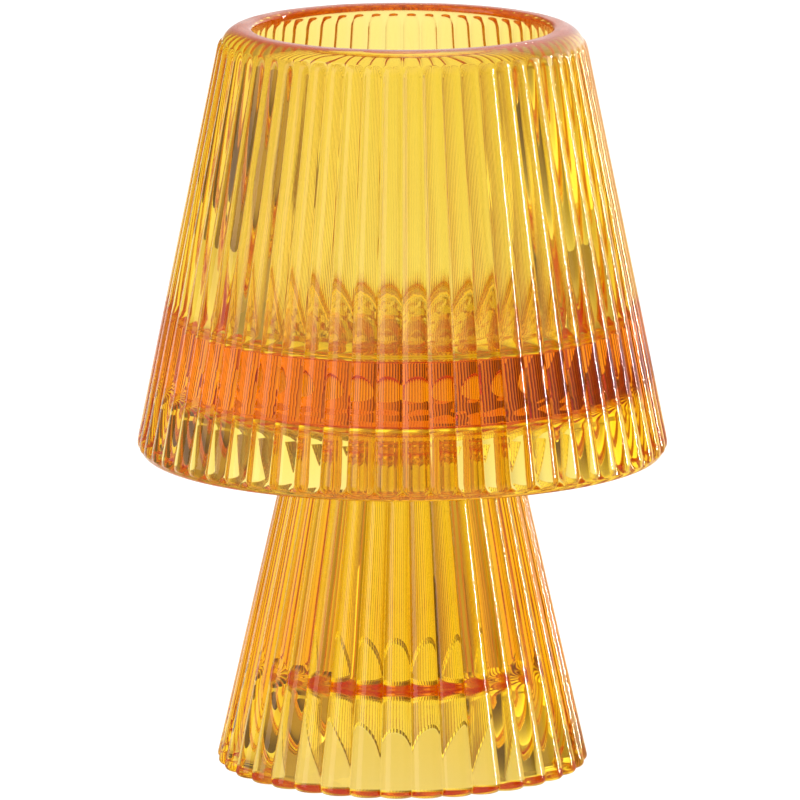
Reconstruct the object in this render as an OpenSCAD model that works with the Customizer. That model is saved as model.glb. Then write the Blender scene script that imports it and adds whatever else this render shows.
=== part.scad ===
// Tealight holder in the shape of a small table lamp: a ribbed glass cup with a skirt, bonded to a ribbed glass foot.
// Millimetres, Z up, the foot stands on z = 0, the axis of the object is the z axis.

/* [Whole object] */
// Height from the table to the top of the rim
total_h = 140; // [120:1:160]
// Height of the lower edge of the shade above the table
shade_z = 59.2; // [50:0.1:70]

/* [Shade] */
// Diameter over the ribs at the lower edge of the shade
shade_d = 100.8; // [96:0.2:115]
// Diameter over the ribs, carried up to the height of the rim
shade_top_d = 67.8; // [64:0.2:80]
// Number of upright ribs round the shade
shade_ribs = 60; // [40:1:80]
// Depth of a rib as a share of its width
shade_rib_share = 0.2; // [0.08:0.01:0.3]
// Radius of the outer rounding of the rim, over which the ribs run out
rim_round = 4; // [2:0.5:5]
// Radius of the rounding where the rim turns into the well
lip_round = 1; // [0.5:0.1:2]

/* [Candle well] */
// Diameter of the mouth of the well that holds the tealight
well_d = 56; // [44:0.5:58]
// Height of the straight part of the mouth, under the rounded lip
mouth_land = 4; // [2:0.5:8]
// Diameter of the well at its floor: it widens downwards along with the outside
well_floor_d = 79.2; // [60:0.2:80]
// Radius of the fillet round the floor of the well
floor_fillet = 4; // [1:0.5:6]
// Thickness of the glass between the floor of the well and the hollow under it
floor_t = 11.8; // [6:0.2:16]

/* [Skirt] */
// Depth of the hollow under the floor of the shade
recess_depth = 11.6; // [8:0.2:14]
// Thickness of the skirt at its lower edge, ribs included
skirt_wall = 7.5; // [3:0.5:9]
// Radius of the fillet between the skirt and the ceiling of the hollow
recess_fillet = 3; // [0.5:0.5:4]

/* [Foot] */
// Diameter over the ribs where the foot stands
foot_d = 70.4; // [60:0.2:80]
// Diameter over the ribs at the top of the foot, before its edge is rounded
neck_d = 38.2; // [34:0.1:46]
// Number of upright ribs round the foot
foot_ribs = 36; // [24:1:48]
// Depth of a rib as a share of its width
foot_rib_share = 0.25; // [0.08:0.01:0.3]
// Height of the wide hollow at the base of the foot, up to its step
hollow_depth = 17.5; // [10:0.5:22]
// Thickness of the foot's wall at the table, ribs included
foot_wall = 6; // [4:0.5:9]
// Diameter of the narrow hollow at the step
core_d = 35; // [22:0.5:36]
// Diameter of the narrow hollow at its top
core_top_d = 25; // [14:0.5:26]
// Thickness of the glass between the narrow hollow and the top of the foot
core_cap = 8.7; // [5:0.1:20]
// Radius of the rounded edge round the top of the foot
neck_round = 2.5; // [1:0.5:4]
// Turn of the foot against the shade: the ribs of the two castings aren't lined up
foot_turn = 3; // [0:0.5:10]

/* [Bond] */
// Diameter of the spot of clear adhesive between foot and shade
bond_d = 25.6; // [12:0.2:30]
// Thickness of the adhesive
bond_t = 0.1; // [0.05:0.05:0.3]

/* [Hidden] */
$fn = 120;
glass = [0.96, 0.72, 0.16, 0.75];
clear_film = [0.96, 0.9, 0.7, 0.9];
rib_steps = 4;
ceiling_z = shade_z + recess_depth;
foot_h = ceiling_z - bond_t;
floor_z = ceiling_z + floor_t;
shade_r = shade_d / 2;
shade_h = total_h - shade_z;
shade_lean = (shade_d - shade_top_d) / 2 / shade_h;
shade_rib_depth = shade_rib_share * 2 * PI * shade_r / shade_ribs;
groove_share = 1 - shade_rib_depth / shade_r;
round_z = total_h - rim_round;
foot_r = foot_d / 2;
foot_lean = (foot_d - neck_d) / 2 / foot_h;
foot_rib_depth = foot_rib_share * 2 * PI * foot_r / foot_ribs;
foot_groove_share = 1 - foot_rib_depth / foot_r;
recess_draft = 3.5;
hollow_draft = 6.2;
hollow_fillet = 3;
step_round = 2.2;
core_round = 3;

// Radius over the ribs, and in the grooves, at a height
function shade_crest(z) = shade_r - shade_lean * (z - shade_z);
function shade_groove(z) = shade_crest(z) * groove_share;
function foot_crest(z) = foot_r - foot_lean * z;
function foot_groove(z) = foot_crest(z) * foot_groove_share;

// Points on a quarter circle from angle a to angle b
function arc(cx, cy, r, a, b, steps) = [
    for (i = [0:steps]) [cx + r * cos(a + (b - a) * i / steps), cy + r * sin(a + (b - a) * i / steps)]
];

// Outline of a ring of convex ribs: each rib is a circular arc between two grooves
function ribbed_outline(r, count, depth) =
    let (half = (r - depth) * sin(180 / count))
    let (inner = (r - depth) * cos(180 / count))
    let (rise = r - inner)
    let (arc_r = (half * half + rise * rise) / (2 * rise))
    let (turn = asin(half / arc_r))
    [
        for (k = [0:count - 1])
            for (i = [0:rib_steps - 1])
                let (a = turn * (2 * i / rib_steps - 1))
                let (x = r - arc_r + arc_r * cos(a))
                let (y = arc_r * sin(a))
                let (t = 360 * (k + 0.5) / count)
                [x * cos(t) - y * sin(t), x * sin(t) + y * cos(t)]
    ];

// A cone with ribs that narrow along with it
module ribbed_cone(r, lean, h, count, depth) {
    linear_extrude(height = h, scale = 1 - lean * h / r)
        polygon(ribbed_outline(r, count, depth));
}

// Points on a quarter of an ellipse with half axes a and b
function oval(cx, cy, a, b, from, to, steps) = [
    for (i = [0:steps]) [cx + a * cos(from + (to - from) * i / steps), cy + b * sin(from + (to - from) * i / steps)]
];

// The solid of revolution that rounds the lower ends of the shade's ribs and lets them run out over the rim
module shade_envelope() {
    out_r = shade_r + 2;
    rib = shade_crest(round_z) - shade_groove(round_z);
    centre_r = shade_groove(round_z) - rim_round;
    rotate_extrude()
        polygon(concat(
            [[0, shade_z]],
            arc(shade_r - 1.6, shade_z + 1.4, 1.4, -90, -20, 4),
            [[out_r, shade_z + 3.2], [out_r - shade_lean * (round_z - shade_z), round_z - 0.5]],
            oval(centre_r, round_z, rim_round + rib + 0.1, rim_round - 0.7, 0, 60, 5),
            [[0, round_z + 1]]
        ));
}

// The fire-polished rim
module rim_ring() {
    low = round_z - 2;
    rotate_extrude()
        polygon(concat(
            [[well_d / 2 - 2, low], [shade_groove(low) + 0.12, low]],
            arc(shade_groove(round_z) + 0.12 - rim_round, round_z, rim_round, 0, 90, 8),
            [[well_d / 2 - 2, total_h]]
        ));
}

// The well: a filleted floor, a wall that leans in, a short straight mouth and a rounded lip
module well_cut() {
    mouth_r = well_d / 2;
    lip_z = total_h - lip_round;
    rotate_extrude()
        polygon(concat(
            [[0, floor_z]],
            arc(well_floor_d / 2 - floor_fillet, floor_z + floor_fillet, floor_fillet, -90, 12, 8),
            [[mouth_r, lip_z - mouth_land]],
            arc(mouth_r + lip_round, lip_z, lip_round, 180, 90, 5),
            [[mouth_r + lip_round, total_h + 1], [0, total_h + 1]]
        ));
}

// The hollow under the floor, with a filleted corner and a little draft
module recess_cut() {
    low_r = shade_r - skirt_wall;
    high_r = low_r - recess_draft;
    rotate_extrude()
        polygon(concat(
            [[0, shade_z - 1], [low_r + 0.2, shade_z - 1]],
            arc(low_r + 0.9, shade_z + 0.8, 0.8, -90, -180, 3),
            arc(high_r - recess_fillet, ceiling_z - recess_fillet, recess_fillet, 0, 90, 5),
            [[0, ceiling_z]]
        ));
}

// The cup with its skirt
module shade() {
    color(glass)
        difference() {
            union() {
                intersection() {
                    translate([0, 0, shade_z])
                        ribbed_cone(shade_r, shade_lean, total_h - shade_z, shade_ribs, shade_rib_depth);
                    shade_envelope();
                }
                rim_ring();
            }
            well_cut();
            recess_cut();
        }
}

// The solid of revolution that rounds the top and the standing edge of the foot
module foot_envelope() {
    top_r = foot_groove(foot_h) - 0.1;
    rotate_extrude()
        polygon(concat(
            [[0, 0]],
            arc(foot_r - 1.3, 1.2, 1.2, -90, -20, 4),
            [[foot_r + 1, 3.4], [foot_crest(foot_h) + 2, foot_h - 3.5]],
            [[foot_crest(foot_h - neck_round) + 0.2, foot_h - neck_round]],
            arc(top_r - neck_round, foot_h - neck_round, neck_round, 30, 90, 4),
            [[0, foot_h]]
        ));
}

// The hollow of the foot: wide at the base, then a soft step, and narrow above it
module foot_hollow() {
    low_r = foot_r - foot_wall;
    high_r = low_r - hollow_draft;
    core_z = foot_h - core_cap;
    rotate_extrude()
        polygon(concat(
            [[0, -1], [low_r + 1, -1]],
            arc(low_r + 1, 1, 1, -90, -170, 3),
            arc(high_r - hollow_fillet, hollow_depth - hollow_fillet, hollow_fillet, 10, 90, 5),
            arc(core_d / 2 + step_round, hollow_depth + step_round, step_round, -90, -170, 5),
            arc(core_top_d / 2 - core_round, core_z - core_round, core_round, 5, 90, 5),
            [[0, core_z]]
        ));
}

// The ribbed foot
module foot() {
    color(glass)
        difference() {
            intersection() {
                rotate(foot_turn)
                    ribbed_cone(foot_r, foot_lean, foot_h, foot_ribs, foot_rib_depth);
                foot_envelope();
            }
            foot_hollow();
        }
}

// The thin spot of cured clear adhesive between the two castings
module bond() {
    color(clear_film)
        translate([0, 0, foot_h])
            cylinder(d = bond_d, h = bond_t);
}

foot();
bond();
shade();
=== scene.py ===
"""Looks for the tealight holder: two pressed-glass castings joined by adhesive, on a white table."""

import math

import bpy
import numpy as np
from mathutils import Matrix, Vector


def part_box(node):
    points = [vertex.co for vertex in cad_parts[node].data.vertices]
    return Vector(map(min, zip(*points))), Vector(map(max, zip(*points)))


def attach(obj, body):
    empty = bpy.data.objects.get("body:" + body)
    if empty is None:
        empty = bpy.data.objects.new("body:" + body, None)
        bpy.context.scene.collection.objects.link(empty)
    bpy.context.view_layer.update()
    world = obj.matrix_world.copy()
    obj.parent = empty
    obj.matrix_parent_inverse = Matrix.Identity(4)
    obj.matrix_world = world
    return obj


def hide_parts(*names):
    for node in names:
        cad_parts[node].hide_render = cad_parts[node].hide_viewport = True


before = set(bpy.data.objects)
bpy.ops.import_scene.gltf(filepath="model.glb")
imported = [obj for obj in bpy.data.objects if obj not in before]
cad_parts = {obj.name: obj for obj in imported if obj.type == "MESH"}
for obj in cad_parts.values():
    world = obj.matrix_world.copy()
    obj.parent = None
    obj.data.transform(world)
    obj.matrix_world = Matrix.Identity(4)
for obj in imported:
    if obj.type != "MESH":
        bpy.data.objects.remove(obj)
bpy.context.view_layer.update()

# ---------------------------------------------------------------- sizes, in millimetres

MM = 0.001


def node_box(node):
    """Lowest and highest corner of a CAD node, in millimetres."""
    low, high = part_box(node)
    return [v / MM for v in low], [v / MM for v in high]


foot_high = node_box("foot")[1]
bond_low, bond_high = node_box("bond")
shade_low, shade_high = node_box("shade")

TOTAL_H = shade_high[2]
SHADE_Z = shade_low[2]
CEILING_Z = bond_high[2]  # the flat underside of the shade, bonded to the foot
FOOT_H = foot_high[2]
BOND_R = (bond_high[0] - bond_low[0]) / 2
BOND_CLEAR = 0.01  # gap between each face of the adhesive and the glass

WELL_R = 28.0  # at the mouth
WELL_FLOOR_R = 39.6
MOUTH_LAND = 4.0
LIP_ROUND = 1.0
FLOOR_T = 11.8
FLOOR_Z = CEILING_Z + FLOOR_T
FLOOR_FILLET = 4.0
FILLET_UP = 1.19  # where the floor's fillet turns into the leaning wall: above the floor, in fillet radii
FILLET_IN = 0.02  # and in from the well's widest place
WALL_PARTS = (0.0, 0.5, 0.98)  # rings of the well's wall, as shares of the way up to the mouth

SHADE_R = 50.4
SHADE_TOP_R = 33.9  # over the ribs, carried up to the height of the rim
SHADE_RIBS = 60
SHADE_RIB_SHARE = 0.2  # depth of a rib over its width
SHADE_RIB_STEPS = 16
RIM_ROUND = 4.0
RIM_OUT = 0.1  # how far the rim's rounding stands out of the grooves
RIM_CROWN = 1.1  # the top of the rim, where the rings are spaced by angle
RIB_TOP_Z = TOTAL_H - 2.4  # where the ribs have run out over the rim
RIB_END = 2.0  # the height over which they run out
NO_RIB = -9.0  # a share of rib that keeps it well under the smooth wall

SKIRT_RIB_LOW = 3.2  # where the ribs start to run out, above the lower edge
SKIRT_PLAIN = 1.0  # where they have run out, above the lower edge
SKIRT_OUT = 0.25  # how far the plain edge stands out of the grooves
SKIRT_EDGE = 1.3
SKIRT_INNER_EDGE = 1.0
SKIRT_WALL = 7.5
RECESS_DRAFT = 3.5
RECESS_FILLET = 3.0

FOOT_R = 35.2
NECK_R = 19.1
FOOT_RIBS = 36
FOOT_RIB_SHARE = 0.25
FOOT_RIB_STEPS = 28
FOOT_TURN = math.radians(3.0)  # the ribs of the two castings aren't lined up
FOOT_EDGE = 1.2
FOOT_WALL = 6.0
NECK_ROUND = 2.5
NECK_IN = 0.1  # how far the flat top stays inside the grooves
HOLLOW_EDGE = 1.2
HOLLOW_H = 17.5
HOLLOW_DRAFT = 6.2
HOLLOW_FILLET = 3.0
HOLLOW_SLIP = (0.02, 0.06)  # how far its wall has moved at the rings beside its edge and its fillet
STEP_ROUND = 2.2
CORE_R = 17.5  # the narrow hollow at the step
CORE_TOP_R = 12.5
CORE_ROUND = 3.0
CORE_CAP = 8.7
CORE_TOP_Z = FOOT_H - CORE_CAP

BOND_SIDES = 96

GROOVE_SOFT = 0.12  # how softly the glass flows into the grooves
NEAR = 0.3  # a ring stands this far from a corner, so that the face beside it stays straight
SLIP = 0.05  # how far a leaning wall has moved over that distance
FULL_NEAR = 0.5  # a ring of full ribs stands this far from a run-out or from the rounding of an edge
HOLD = 0.4  # and this far from the neck's rounding, or from the next such ring
GAP = 0.1  # first step of the rings where ribs run out


# ---------------------------------------------------------------- shapes

def arc(r, z, radius, start, end, steps):
    """Points along a circular arc about (r, z), angles in degrees."""
    out = []
    for i in range(steps + 1):
        a = math.radians(start + (end - start) * i / steps)
        out.append((r + radius * math.cos(a), z + radius * math.sin(a)))
    return out


def rib_directions(count, depth, steps, turn):
    """Directions round the axis and, for each, the rib's outline radius over its crest radius.

    A rib is an arc between two grooves. The points crowd towards the grooves, where the surface
    turns fastest.
    """
    groove = 1 - depth
    half = groove * math.sin(math.pi / count)
    rise = 1 - groove * math.cos(math.pi / count)
    rib_r = (half * half + rise * rise) / (2 * rise)
    widest = math.asin(half / rib_r)
    along = np.linspace(-1, 1, steps + 1)[:-1]
    a = widest * (along + np.sin(math.pi / 2 * along)) / 2
    x = 1 - rib_r + rib_r * np.cos(a)
    y = rib_r * np.sin(a)
    middles = 2 * math.pi * (np.arange(count) + 0.5) / count + turn
    return (middles[:, None] + np.arctan2(y, x)[None, :]).ravel(), np.tile(np.hypot(x, y), count)


def ring(base, z, crest=None, keep=1.0):
    """One ring of a casting: smooth radius, height, radius over the ribs, and the share of rib left."""
    return base, z, crest, keep


def ribbed_ring(crest, groove, z, out=0.0, keep=1.0):
    """A ring whose smooth wall lies at the bottom of the grooves, or a little out of them."""
    return ring(crest * groove + out, z, crest, keep)


def smooth_rings(points):
    """Plain round rings through (r, z) points."""
    return [ring(r, z) for r, z in points]


def ring_radii(base, crest, keep, outline, depth):
    """Radius in each direction: the rib where it stands out of the smooth wall, with a soft change."""
    if crest is None:
        return np.full_like(outline, base)
    rib = crest * outline - (1 - keep) * crest * depth
    return (base + rib + np.sqrt((base - rib) ** 2 + GROOVE_SOFT**2)) / 2


def casting(name, rings, angles, outline, depth):
    """A closed mesh turned round the axis from rings, the first and last of which close over the axis."""
    n = len(angles)
    cos, sin = np.cos(angles), np.sin(angles)
    points = [np.array([[0.0, 0.0, rings[0][1]]])]
    for base, z, crest, keep in rings[1:-1]:
        r = ring_radii(base, crest, keep, outline, depth)
        points.append(np.stack([r * cos, r * sin, np.full(n, z)], -1))
    points.append(np.array([[0.0, 0.0, rings[-1][1]]]))
    verts = np.concatenate(points) * MM
    faces = []
    step = np.arange(n)
    after = (step + 1) % n
    inner = len(rings) - 2
    faces += [(0, 1 + int(i), 1 + int(j)) for i, j in zip(step, after)]
    for k in range(inner - 1):
        low, high = 1 + k * n, 1 + (k + 1) * n
        faces += np.stack([low + step, high + step, high + after, low + after], -1).tolist()
    last, end = 1 + (inner - 1) * n, 1 + inner * n
    faces += [(last + int(i), end, last + int(j)) for i, j in zip(step, after)]
    mesh = bpy.data.meshes.new(name)
    mesh.from_pydata(verts.tolist(), [], faces)
    mesh.polygons.foreach_set("use_smooth", [True] * len(mesh.polygons))
    mesh.update()
    obj = bpy.data.objects.new(name, mesh)
    bpy.context.scene.collection.objects.link(obj)
    return obj


def shade_crest(z):
    """The shade's radius over its ribs at a height."""
    return SHADE_R + (SHADE_TOP_R - SHADE_R) * (z - SHADE_Z) / (TOTAL_H - SHADE_Z)


def foot_crest(z):
    """The foot's radius over its ribs at a height."""
    return FOOT_R + (NECK_R - FOOT_R) * z / FOOT_H


def well_rings():
    """The well, from the middle of its floor up its wall and over the lip."""
    fillet_r = WELL_FLOOR_R - FLOOR_FILLET
    wall_z = FLOOR_Z + FLOOR_FILLET * FILLET_UP + NEAR
    wall_r = WELL_FLOOR_R - FLOOR_FILLET * FILLET_IN
    lip_z = TOTAL_H - LIP_ROUND
    land_z = lip_z - MOUTH_LAND
    rings = [ring(0, FLOOR_Z), ring(fillet_r - NEAR, FLOOR_Z)]
    rings += smooth_rings(arc(fillet_r, FLOOR_Z + FLOOR_FILLET, FLOOR_FILLET, -90, 11, 9))
    for part in WALL_PARTS:
        rings.append(ring(wall_r + (WELL_R - wall_r) * part, wall_z + (land_z - wall_z) * part))
    rings += [ring(WELL_R, land_z + 2 * NEAR), ring(WELL_R, lip_z - NEAR)]
    return rings + smooth_rings(arc(WELL_R + LIP_ROUND, lip_z, LIP_ROUND, 180, 90, 6))


def rim_rings(groove):
    """The rounded rim, from its top outwards, with the ribs running out over it."""
    round_z = TOTAL_H - RIM_ROUND
    round_r = shade_crest(round_z) * groove + RIM_OUT - RIM_ROUND
    rib_start = RIB_TOP_Z - RIB_END
    heights = np.concatenate([
        TOTAL_H - RIM_ROUND * (1 - np.sin(np.radians(np.linspace(90, 50, 8)))),
        np.linspace(TOTAL_H - RIM_CROWN, round_z, 20),
        np.linspace(round_z - 2 * GAP, rib_start, 5),
    ])
    rings = []
    for z in heights:
        crest = shade_crest(z)
        if z >= round_z:
            base = round_r + math.sqrt(RIM_ROUND**2 - (z - round_z) ** 2)
        else:
            base = crest * groove + RIM_OUT
        rise = min(1.0, (z - rib_start) / RIB_END)
        rings.append(ring(base, z, crest, math.sqrt(1 - rise * rise) if z < RIB_TOP_Z else NO_RIB))
    return rings


def skirt_rings(groove):
    """The ribbed wall down to the skirt's lower edge, where the ribs run out, and the edge's rounding."""
    ribs_z = SHADE_Z + SKIRT_RIB_LOW
    edge_z = SHADE_Z + SKIRT_EDGE
    heights = (RIB_TOP_Z - RIB_END - FULL_NEAR, ribs_z + HOLD, ribs_z)
    rings = [ribbed_ring(shade_crest(z), groove, z) for z in heights]
    for z in np.linspace(ribs_z - GAP, edge_z, 12):
        rise = min(1.0, (ribs_z - z) / (SKIRT_RIB_LOW - SKIRT_PLAIN))
        rings.append(ribbed_ring(shade_crest(z), groove, z, SKIRT_OUT * rise, math.sqrt(1 - rise * rise)))
    edge_r = shade_crest(edge_z) * groove + SKIRT_OUT - SKIRT_EDGE
    return rings + smooth_rings(arc(edge_r, edge_z, SKIRT_EDGE, -6, -90, 8))


def recess_rings():
    """The skirt's inside and the hollow under the floor, up to the middle of its ceiling."""
    low_r = SHADE_R - SKIRT_WALL
    high_r = low_r - RECESS_DRAFT
    edge_z = SHADE_Z + SKIRT_INNER_EDGE
    fillet_r = high_r - RECESS_FILLET
    fillet_z = CEILING_Z - RECESS_FILLET
    rings = smooth_rings(arc(low_r + SKIRT_INNER_EDGE, edge_z, SKIRT_INNER_EDGE, -90, -180, 6))
    rings += [ring(low_r - SLIP, edge_z + NEAR), ring(high_r + SLIP, fillet_z - NEAR)]
    rings += smooth_rings(arc(fillet_r, fillet_z, RECESS_FILLET, 0, 90, 7))
    return rings + [ring(fillet_r - NEAR, CEILING_Z), ring(0, CEILING_Z)]


def make_shade():
    """The cup with its well, rim, ribbed wall and skirt, and the hollow under the floor."""
    depth = SHADE_RIB_SHARE * 2 * math.pi / SHADE_RIBS
    angles, outline = rib_directions(SHADE_RIBS, depth, SHADE_RIB_STEPS, 0.0)
    groove = 1 - depth
    rings = well_rings() + rim_rings(groove) + skirt_rings(groove) + recess_rings()
    return casting("shade_glass", rings, angles, outline, depth)


def foot_wall_rings(groove):
    """The flat top, the rounded neck, the ribbed cone and the rounding of the standing edge."""
    top_r = foot_crest(FOOT_H) * groove - NECK_IN
    neck_z = FOOT_H - NECK_ROUND
    rings = [ring(0, FOOT_H), ring(top_r - NECK_ROUND - NEAR, FOOT_H)]
    for r, z in arc(top_r - NECK_ROUND, neck_z, NECK_ROUND, 90, 0, 13):
        lean = foot_crest(z) * groove - top_r
        rings.append(ring(r + lean, z, foot_crest(z) + r - top_r))
    rings += [ribbed_ring(foot_crest(z), groove, z) for z in (neck_z - HOLD, FOOT_EDGE + FULL_NEAR)]
    for shift, z in arc(-FOOT_EDGE, FOOT_EDGE, FOOT_EDGE, 0, -90, 7):
        rings.append(ring(foot_crest(z) * groove + shift, z, foot_crest(z) + shift))
    return rings


def foot_hollow_rings():
    """The wide hollow at the base, the soft step and the narrow hollow above it."""
    low_r = FOOT_R - FOOT_WALL
    high_r = low_r - HOLLOW_DRAFT
    low_slip, high_slip = HOLLOW_SLIP
    fillet_z = HOLLOW_H - HOLLOW_FILLET
    rings = smooth_rings(arc(low_r + HOLLOW_EDGE, HOLLOW_EDGE, HOLLOW_EDGE, -90, -170, 8))
    rings += [ring(low_r - low_slip, HOLLOW_EDGE + 2 * NEAR), ring(high_r + high_slip, fillet_z - NEAR)]
    rings += smooth_rings(arc(high_r - HOLLOW_FILLET, fillet_z, HOLLOW_FILLET, 10, 90, 7))
    rings += smooth_rings(arc(CORE_R + STEP_ROUND, HOLLOW_H + STEP_ROUND, STEP_ROUND, -90, -170, 8))
    rings += smooth_rings(arc(CORE_TOP_R - CORE_ROUND, CORE_TOP_Z - CORE_ROUND, CORE_ROUND, 5, 90, 8))
    return rings + [ring(0, CORE_TOP_Z)]


def make_foot():
    """The ribbed foot with the hollow underneath."""
    depth = FOOT_RIB_SHARE * 2 * math.pi / FOOT_RIBS
    angles, outline = rib_directions(FOOT_RIBS, depth, FOOT_RIB_STEPS, FOOT_TURN)
    rings = foot_wall_rings(1 - depth) + foot_hollow_rings()
    return casting("foot_glass", rings, angles, outline, depth)


def make_bond():
    """The spot of adhesive, a thin disc with a rounded edge."""
    thick = CEILING_Z - FOOT_H - 2 * BOND_CLEAR
    low_z = FOOT_H + BOND_CLEAR
    middle = low_z + thick / 2
    angles = np.linspace(0, 2 * math.pi, BOND_SIDES + 1)[:-1]
    edge = arc(BOND_R - thick / 2, middle, thick / 2, -90, 90, 8)
    rings = [ring(0, low_z)] + smooth_rings(edge) + [ring(0, low_z + thick)]
    return casting("bond_film", rings, angles, np.ones_like(angles), 0.0)


# ---------------------------------------------------------------- materials

GLASS_IOR = 1.52
WALL_TINT = (0.965, 0.91, 0.66)
ABSORB_PER_M = (2.0, 18.0, 155.0)  # red, green and blue
ABSORB_DENSITY = 160.0
JOINED_REACH = 0.3  # glass this close to the adhesive counts as joined, in millimetres
ADHESIVE_TINT = (1.0, 0.98, 0.92)

WAVE_HIGH = 0.0004  # metres
WAVE_LONG = 0.008  # metres
WAVE_FLAT = 0.4  # under 1 makes the waves longer upwards
OUTER_SKIN = 3.0  # the waves keep this far inside the ribbed face, in millimetres
SHADE_LEAN = (SHADE_R - SHADE_TOP_R) / (TOTAL_H - SHADE_Z)
FOOT_LEAN = (FOOT_R - NECK_R) / FOOT_H

WHITE = (1.0, 1.0, 1.0, 1.0)


class Nodes:
    """A short way to add nodes to a tree and link them."""

    def __init__(self, tree):
        self.tree = tree
        tree.nodes.clear()

    def add(self, kind, **inputs):
        """A node with its inputs set or linked. An underscore stands for a space in an input's name."""
        node = self.tree.nodes.new("ShaderNode" + kind)
        for name, value in inputs.items():
            self.feed(node.inputs[name.replace("_", " ")], value)
        return node

    def feed(self, socket, value):
        """Link another node's output to a socket, or set the socket to a value."""
        if isinstance(value, bpy.types.NodeSocket):
            self.tree.links.new(value, socket)
        else:
            socket.default_value = value

    def maths(self, operation, a, b=0.0):
        """The outcome of a Math node."""
        node = self.tree.nodes.new("ShaderNodeMath")
        node.operation = operation
        self.feed(node.inputs[0], a)
        self.feed(node.inputs[1], b)
        return node.outputs[0]

    def off_axis(self, x, y):
        """Distance from the object's axis."""
        squares = [self.maths("MULTIPLY", v, v) for v in (x, y)]
        return self.maths("SQRT", self.maths("ADD", *squares))

    def blend(self, factor, a, b):
        """A colour between a and b."""
        node = self.tree.nodes.new("ShaderNodeMix")
        node.data_type = "RGBA"
        self.feed(node.inputs["Factor"], factor)
        self.feed(node.inputs[6], a)
        self.feed(node.inputs[7], b)
        return node.outputs[2]


def joined_ior(n):
    """The glass's index everywhere but on the bonded disc, where glass meets glass and nothing bends."""
    point = n.add("TexCoord").outputs["Object"]
    x, y, z = n.add("SeparateXYZ", Vector=point).outputs
    inside = n.maths("LESS_THAN", n.off_axis(x, y), BOND_R * MM)
    off = n.maths("ABSOLUTE", n.maths("SUBTRACT", z, (CEILING_Z + FOOT_H) / 2 * MM))
    near = n.maths("LESS_THAN", off, JOINED_REACH * MM)
    joined = n.maths("MULTIPLY", inside, near)
    return n.maths("SUBTRACT", GLASS_IOR, n.maths("MULTIPLY", joined, GLASS_IOR - 1.0))


def uneven(n, outer_r, lean):
    """The faint waves of a plunger on the inner faces. The outer, fire-polished faces stay true."""
    point = n.add("TexCoord").outputs["Object"]
    x, y, z = n.add("SeparateXYZ", Vector=point).outputs
    upright = n.maths("ADD", n.off_axis(x, y), n.maths("MULTIPLY", z, lean))
    inner = n.maths("LESS_THAN", upright, (outer_r - OUTER_SKIN) * MM)
    stretched = n.add("Mapping", Vector=point, Scale=(1, 1, WAVE_FLAT)).outputs[0]
    waves = n.add("TexNoise", Vector=stretched, Scale=1 / WAVE_LONG, Detail=0.0)
    height = n.maths("MULTIPLY", waves.outputs["Fac"], inner)
    bump = n.add("Bump", Strength=1.0, Distance=WAVE_HIGH, Height=height)
    return bump.outputs[0]


def clear_shader(n, tint, ior):
    """A clear, smooth surface that lets light through."""
    return n.add("BsdfPrincipled", Base_Color=(*tint, 1), Roughness=0.0, IOR=ior, Transmission_Weight=1.0)


def glass_material(name, outer_r, lean):
    """Clear amber glass: the colour is in its depth, so thin walls are lemon and thick ones red-orange."""
    mat = bpy.data.materials.new(name)
    mat.use_nodes = True
    n = Nodes(mat.node_tree)
    shader = clear_shader(n, WALL_TINT, GLASS_IOR)
    n.feed(shader.inputs["IOR"], joined_ior(n))
    n.feed(shader.inputs["Normal"], uneven(n, outer_r, lean))
    tint = [1 - a / ABSORB_DENSITY for a in ABSORB_PER_M]
    depth = n.add("VolumeAbsorption", Color=(*tint, 1), Density=ABSORB_DENSITY)
    n.add("OutputMaterial", Surface=shader.outputs[0], Volume=depth.outputs[0])
    return mat


def adhesive_material():
    """Cured clear adhesive: between the two castings it neither bends nor mirrors light."""
    mat = bpy.data.materials.new("adhesive")
    mat.use_nodes = True
    n = Nodes(mat.node_tree)
    shader = clear_shader(n, ADHESIVE_TINT, 1.0)
    n.add("OutputMaterial", Surface=shader.outputs[0])
    return mat


# ---------------------------------------------------------------- the pieces

def place(piece, material, node):
    """Give a piece its material and let it stand in for its CAD node."""
    piece.data.materials.append(material)
    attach(piece, "root")
    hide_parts(node)


place(make_shade(), glass_material("shade_glass", SHADE_R + SHADE_LEAN * SHADE_Z, SHADE_LEAN), "shade")
place(make_foot(), glass_material("foot_glass", FOOT_R, FOOT_LEAN), "foot")
place(make_bond(), adhesive_material(), "bond")


# ---------------------------------------------------------------- table, light and camera

TABLE_HALF = 4.0  # metres
TABLE_DROP = 0.0002  # metres that the table lies under the foot
TABLE_GLOW = 1.05  # what the camera sees
TABLE_WHITE = 0.2
GLOW_LEAST = 0.3  # what the glass sees, from the dark to the bright side
GLOW_MOST = 0.97
FRONT_GLOW = 0.55
# The painted pool of amber light on the table under the foot, standing in for the light that comes down
# the glass
POOL_R = 0.034  # metres
POOL_EDGE = 0.005  # metres
PAINTED_POOL_GLOW = 0.88
PAINTED_POOL_COLOUR = (1.0, 0.84, 0.52, 1.0)
SIDE_COLOUR = (1.0, 0.7, 0.58, 1.0)

# Stretches round the object, in degrees from straight behind towards +X: dark, full, full, dark
TABLE_SIDE = (-90, -35, 10, 65)
BACK_SIDE = (-22, 6, 45, 95)
LEFT_SIDE = (-140, -110, -75, -50)
RIGHT_SIDE = (5, 28, 45, 70)
NOT_FRONT = (-150, -115, 115, 150)

BACK_LIGHT = 1.0
FLANK_LIGHT = 0.15
TOP_LIGHT = 0.5
LEFT_LIGHT = 0.4
RIGHT_LIGHT = 0.6
FRONT_LIGHT = 0.4

# Where the light from above sets in and each low patch of light fades out, as the z of a direction
TOP_RISE = (0.35, 0.65)
LEFT_FADE = (0.5, 0.7)
RIGHT_FADE = (0.25, 0.45)
FRONT_FADE = (0.15, 0.35)

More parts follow.
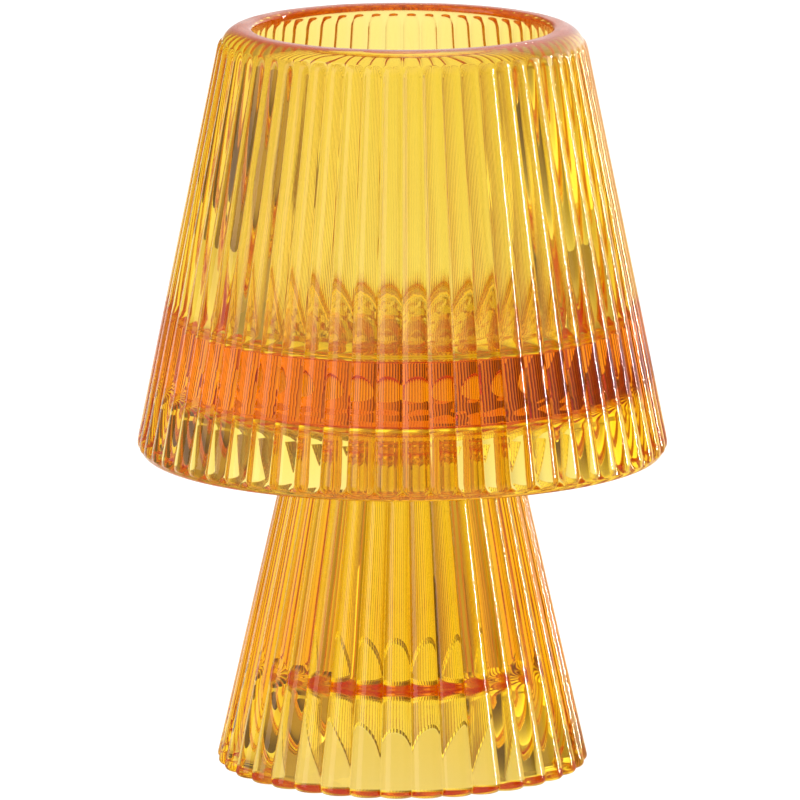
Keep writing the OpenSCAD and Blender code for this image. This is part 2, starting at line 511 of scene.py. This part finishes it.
CAMERA_DISTANCE = 1.80  # metres
CAMERA_ELEVATION = math.radians(10.8)
CAMERA_AIM = (-0.00045, 0.0, 0.0690)
CAMERA_SENSOR = 36.0  # millimetres
CAMERA_LENS = 430.758  # millimetres
LAMP_AIM = (0, 0, 0.08)

BOUNCES = 32  # light crosses many faces in ribbed glass
GLOSSY_BOUNCES = 24
CLAMP = 8.0


def sector(n, x, y, dark_from, full_from, full_to, dark_to):
    """1 on a stretch round the object and 0 off it, with soft ends."""
    way = n.maths("ARCTAN2", x, y)
    ends = []
    for dark, full in ((dark_from, full_from), (dark_to, full_to)):
        end = n.add("MapRange", Value=way, From_Min=math.radians(dark), From_Max=math.radians(full))
        end.interpolation_type = "SMOOTHSTEP"
        ends.append(end.outputs[0])
    return n.maths("MULTIPLY", *ends)


def fade(n, value, over, between):
    """A straight run between two levels while the value goes from one end of its range to the other."""
    run = n.add("MapRange", Value=value, From_Min=over[0], From_Max=over[1])
    for name, level in zip(("To Min", "To Max"), between):
        run.inputs[name].default_value = level
    return run.outputs[0]


def in_front(n, x, y):
    """1 on the near side of the object and 0 on its far side and its flanks."""
    return n.maths("SUBTRACT", 1.0, sector(n, x, y, *NOT_FRONT))


def table_material():
    """A plain white light table. Under the foot it glows amber, a painted pool of the light that comes
    down the glass.

    The glass sees the table fall off towards the sides, which is what draws its ribs.
    """
    mat = bpy.data.materials.new("white_table")
    mat.use_nodes = True
    n = Nodes(mat.node_tree)
    x, y = n.add("SeparateXYZ", Vector=n.add("NewGeometry").outputs["Position"]).outputs[:2]
    seen = n.add("LightPath").outputs["Is Camera Ray"]
    front = n.maths("MULTIPLY", in_front(n, x, y), FRONT_GLOW)
    lit = n.maths("MAXIMUM", sector(n, x, y, *TABLE_SIDE), front)
    # painted pool of light: the table glows amber inside the foot's footprint
    under = fade(n, n.off_axis(x, y), (POOL_R, POOL_R - POOL_EDGE), (0.0, 1.0))
    open_level = fade(n, lit, (0.0, 1.0), (GLOW_LEAST, GLOW_MOST))
    level = n.add("Mix", Factor=under, A=open_level, B=PAINTED_POOL_GLOW).outputs[0]
    hue = n.blend(under, n.blend(lit, SIDE_COLOUR, WHITE), PAINTED_POOL_COLOUR)
    strength = n.add("Mix", Factor=seen, A=level, B=TABLE_GLOW).outputs[0]
    glow = n.add("Emission", Color=n.blend(seen, hue, WHITE), Strength=strength)
    matt = n.add("BsdfDiffuse", Color=(TABLE_WHITE, TABLE_WHITE, TABLE_WHITE, 1))
    both = n.add("AddShader")
    n.feed(both.inputs[0], glow.outputs[0])
    n.feed(both.inputs[1], matt.outputs[0])
    n.add("OutputMaterial", Surface=both.outputs[0])
    return mat


def make_table():
    """The table, a white plane just under the foot."""
    corners = [(TABLE_HALF * x, TABLE_HALF * y, 0) for x, y in ((-1, -1), (1, -1), (1, 1), (-1, 1))]
    mesh = bpy.data.meshes.new("table")
    mesh.from_pydata(corners, [], [(0, 1, 2, 3)])
    mesh.materials.append(table_material())
    table = bpy.data.objects.new("table", mesh)
    table.location.z = -TABLE_DROP
    bpy.context.scene.collection.objects.link(table)


def make_world():
    """White to the camera. The glass sees a bright back and top, dark flanks and three low patches."""
    world = bpy.data.worlds.new("studio")
    bpy.context.scene.world = world
    world.use_nodes = True
    n = Nodes(world.node_tree)
    way = n.add("TexCoord").outputs["Generated"]
    x, y, z = n.add("SeparateXYZ", Vector=way).outputs
    behind = sector(n, x, y, *BACK_SIDE)
    front = in_front(n, x, y)
    level = fade(n, behind, (0.0, 1.0), (FLANK_LIGHT, BACK_LIGHT))
    level = n.maths("ADD", level, fade(n, z, TOP_RISE, (0.0, TOP_LIGHT)))
    patches = (
        (sector(n, x, y, *LEFT_SIDE), LEFT_LIGHT, LEFT_FADE),
        (sector(n, x, y, *RIGHT_SIDE), RIGHT_LIGHT, RIGHT_FADE),
        (front, FRONT_LIGHT, FRONT_FADE),
    )
    for where, light, heights in patches:
        patch = n.maths("MULTIPLY", fade(n, z, heights, (light, 0.0)), where)
        level = n.maths("ADD", level, patch)
    lit = n.maths("MAXIMUM", behind, front)
    seen = n.add("LightPath").outputs["Is Camera Ray"]
    hue = n.blend(n.maths("MAXIMUM", seen, lit), SIDE_COLOUR, WHITE)
    light = n.add("Background", Color=hue, Strength=n.maths("MAXIMUM", seen, level))
    n.add("OutputWorld", Surface=light.outputs[0])


def area_light(name, at, size, power, colour=(1, 1, 1)):
    """A rectangular lamp turned towards the object."""
    data = bpy.data.lights.new(name, "AREA")
    data.shape = "RECTANGLE"
    data.size, data.size_y = size
    data.energy = power
    data.color = colour
    lamp = bpy.data.objects.new(name, data)
    lamp.location = at
    lamp.rotation_euler = (Vector(LAMP_AIM) - Vector(at)).to_track_quat("-Z", "Y").to_euler()
    bpy.context.scene.collection.objects.link(lamp)
    return lamp


def make_camera():
    """A long lens from a little above."""
    data = bpy.data.cameras.new("camera")
    data.sensor_width = CAMERA_SENSOR
    data.lens = CAMERA_LENS
    camera = bpy.data.objects.new("camera", data)
    back = CAMERA_DISTANCE * math.cos(CAMERA_ELEVATION)
    up = CAMERA_DISTANCE * math.sin(CAMERA_ELEVATION)
    camera.location = Vector(CAMERA_AIM) + Vector((0, -back, up))
    camera.rotation_euler = (math.pi / 2 - CAMERA_ELEVATION, 0, 0)
    bpy.context.scene.collection.objects.link(camera)
    bpy.context.scene.camera = camera


make_table()
make_world()
make_camera()
area_light("left_front", at=(-1.1, -0.7, 0.6), size=(0.9, 1.2), power=5.0, colour=(1.0, 0.88, 0.88))
strip = area_light("right_back", at=(0.95, 0.3, 0.15), size=(0.05, 0.8), power=8.0)
strip.visible_transmission = False  # the strip shows as a reflection only, not through the glass

scene = bpy.context.scene
scene.view_settings.view_transform = "Standard"
scene.cycles.max_bounces = BOUNCES
scene.cycles.transmission_bounces = BOUNCES
scene.cycles.glossy_bounces = GLOSSY_BOUNCES
scene.cycles.transparent_max_bounces = BOUNCES
scene.cycles.caustics_reflective = True
scene.cycles.caustics_refractive = True
scene.cycles.use_denoising = True
scene.cycles.sample_clamp_indirect = CLAMP
